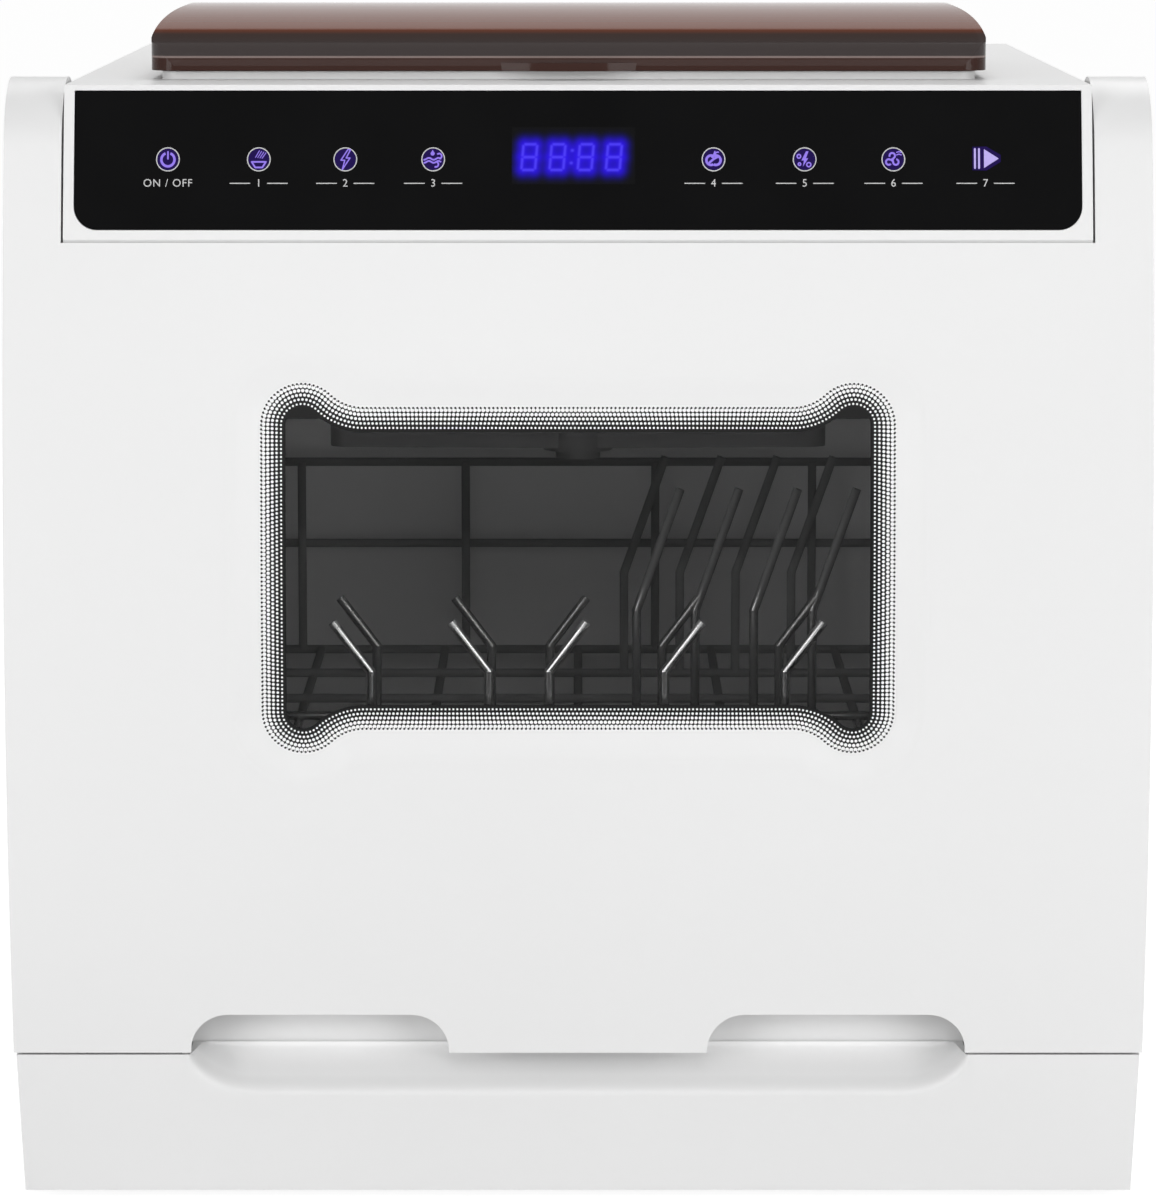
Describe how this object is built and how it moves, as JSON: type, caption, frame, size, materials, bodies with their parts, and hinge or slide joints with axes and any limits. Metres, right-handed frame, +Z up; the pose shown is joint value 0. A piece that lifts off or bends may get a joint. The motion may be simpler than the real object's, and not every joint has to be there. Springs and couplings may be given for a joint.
{
  "type": "countertop dishwasher",
  "caption": "Compact countertop dishwasher with a windowed flip-up front door, touch panel, top fill lid, tank and wire rack.",
  "frame": {"origin": "centre of the footprint, on the surface that the feet stand on", "axes": "+Z up, the door faces -Y, +X to the right of someone who faces the door"},
  "size_m": [0.42, 0.42, 0.4435],
  "materials": {
    "white_cover": "semi-gloss white moulding",
    "black_panel": "black tempered glass",
    "clear_glass": "tinted tempered glass with a black dotted border",
    "smoke_lid": "translucent brown",
    "stainless": "brushed stainless",
    "zinc_steel": "zinc plated",
    "grey_moulding": "fine texture",
    "dark_moulding": "fine texture",
    "black_rubber": "matt",
    "tank_plastic": "translucent blow moulding",
    "coated_wire": "polished wire",
    "board_green": "solder mask",
    "magnet_grey": "sintered"
  },
  "bodies": {
    "cabinet": {"base_tray": "white_cover", "bottom_plate": "zinc_steel", "rubber_feet": "black_rubber", "side_panel_left": "white_cover", "side_panel_right": "white_cover", "rear_panel": "white_cover", "top_cover": "white_cover", "control_glass": "black_panel", "control_board": "board_green", "display_module": "dark_moulding", "front_frame": "white_cover", "tub": "stainless", "hinge_beam": "zinc_steel", "hinge_brackets": "zinc_steel", "hinge_bushes": "grey_moulding", "door_springs": "zinc_steel", "catch_magnet": "magnet_grey", "lid_hinges": "dark_moulding", "lid_pins": "zinc_steel", "fill_well": "white_cover", "fill_strainer": "grey_moulding", "fill_duct": "tank_plastic", "water_tank": "tank_plastic", "tank_hose": "black_rubber", "sump": "grey_moulding", "filter_plate": "stainless", "heater": "stainless", "circulation_pump": "grey_moulding", "suction_hose": "black_rubber", "drain_pump": "grey_moulding", "drain_hose": "black_rubber", "spray_hub": "grey_moulding", "upper_feed_pipe": "grey_moulding", "fan_housing": "grey_moulding", "air_duct": "tank_plastic", "power_box": "dark_moulding", "power_board": "board_green", "water_connectors": "grey_moulding", "power_inlet": "dark_moulding", "dish_rack": "coated_wire", "rack_rails": "stainless", "cutlery_basket": "grey_moulding", "cover_screws": "zinc_steel"},
    "door": {"door_shell": "white_cover", "door_glass": "clear_glass", "window_frame": "dark_moulding", "inner_glass": "clear_glass", "door_liner": "stainless", "door_gasket": "black_rubber", "door_strike": "zinc_steel", "hinge_pins": "zinc_steel", "door_screws": "zinc_steel"},
    "fill_lid": {"fill_lid": "smoke_lid"},
    "filter_cup": {"filter_cup": "grey_moulding"},
    "lower_spray_arm": {"lower_spray_arm": "grey_moulding"},
    "upper_spray_arm": {"upper_spray_arm": "grey_moulding"},
    "pump_impeller": {"pump_impeller": "dark_moulding"},
    "drain_impeller": {"drain_impeller": "dark_moulding"},
    "fan_wheel": {"fan_wheel": "dark_moulding"}
  },
  "joints": [
    {"name": "door_hinge", "type": "hinge", "parent": "cabinet", "child": "door", "pos_m": [0, -0.15371, 0.388], "axis": [-1, 0, 0], "range_deg": [0, 95]},
    {"name": "lid_hinge", "type": "hinge", "parent": "cabinet", "child": "fill_lid", "pos_m": [-0.0035, 0.03285, 0.433], "axis": [-1, 0, 0], "range_deg": [0, 100]},
    {"name": "filter_lift", "type": "slide", "parent": "cabinet", "child": "filter_cup", "axis": [0, 0, 1], "range_m": [0, 0.04]},
    {"name": "lower_arm_spin", "type": "hinge", "parent": "cabinet", "child": "lower_spray_arm", "pos_m": [0, 0, 0.126], "axis": [0, 0, 1], "continuous": true},
    {"name": "upper_arm_spin", "type": "hinge", "parent": "cabinet", "child": "upper_spray_arm", "pos_m": [0, 0, 0.268], "axis": [0, 0, 1], "continuous": true},
    {"name": "pump_spin", "type": "hinge", "parent": "cabinet", "child": "pump_impeller", "pos_m": [0, 0, 0.056], "axis": [0, 1, 0], "continuous": true},
    {"name": "drain_pump_spin", "type": "hinge", "parent": "cabinet", "child": "drain_impeller", "pos_m": [-0.054, 0.082, 0.054], "axis": [1, 0, 0], "continuous": true},
    {"name": "fan_spin", "type": "hinge", "parent": "cabinet", "child": "fan_wheel", "pos_m": [0.158, 0.05, 0.026], "axis": [0, 0, 1], "continuous": true}
  ]
}
